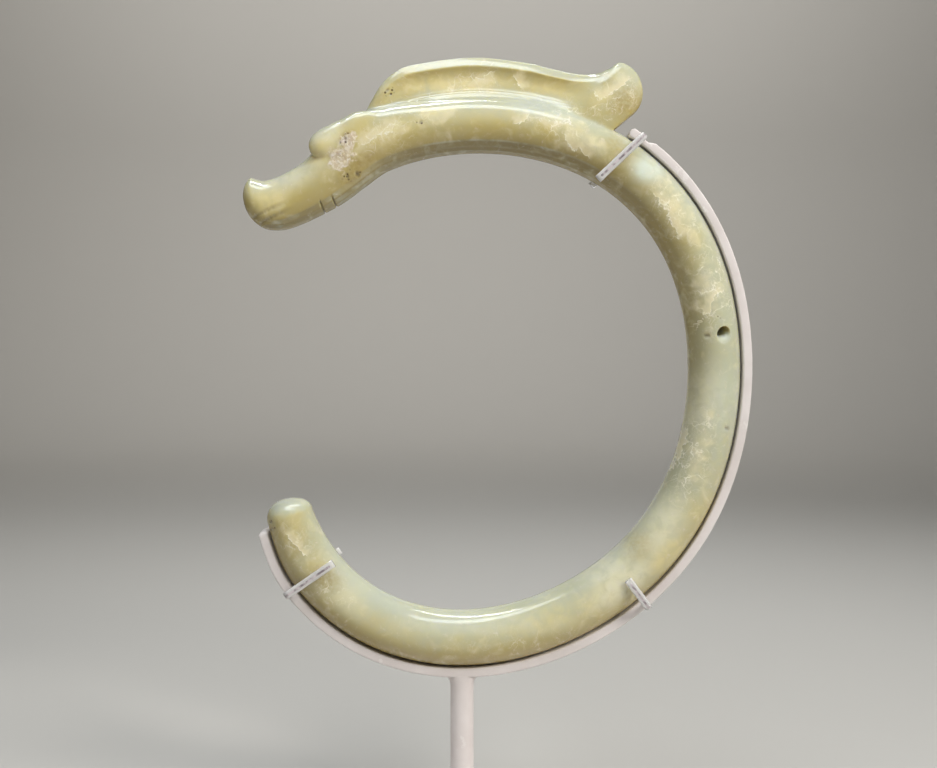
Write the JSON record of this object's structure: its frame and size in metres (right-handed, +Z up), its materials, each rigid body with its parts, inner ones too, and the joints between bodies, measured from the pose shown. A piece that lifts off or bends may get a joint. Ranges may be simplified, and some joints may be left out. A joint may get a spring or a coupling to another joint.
{
  "type": "jade c-shaped dragon",
  "caption": "Carved jade dragon bent into a C, with upturned snout, spindle eyes, swept mane and a drilled hole, held upright in a painted metal cradle on a stem and foot.",
  "frame": {"origin": "centre of the foot's underside, on the axis of the stem", "axes": "+Z up; +X to the right across the C, away from its opening; +Y from the front of the C to its back"},
  "size_m": [0.2139, 0.092, 0.335],
  "materials": {
    "jade": "polished",
    "cradle_paint": "satin",
    "prong_sleeve": "gloss"
  },
  "bodies": {
    "root": {"dragon": "jade", "cradle_rail": "cradle_paint", "stem": "cradle_paint", "foot": "cradle_paint", "prong_front_lower_left": "prong_sleeve", "prong_back_lower_left": "prong_sleeve", "prong_front_lower_right": "prong_sleeve", "prong_back_lower_right": "prong_sleeve", "prong_front_top_right": "prong_sleeve", "prong_back_top_right": "prong_sleeve"}
  },
  "joints": []
}
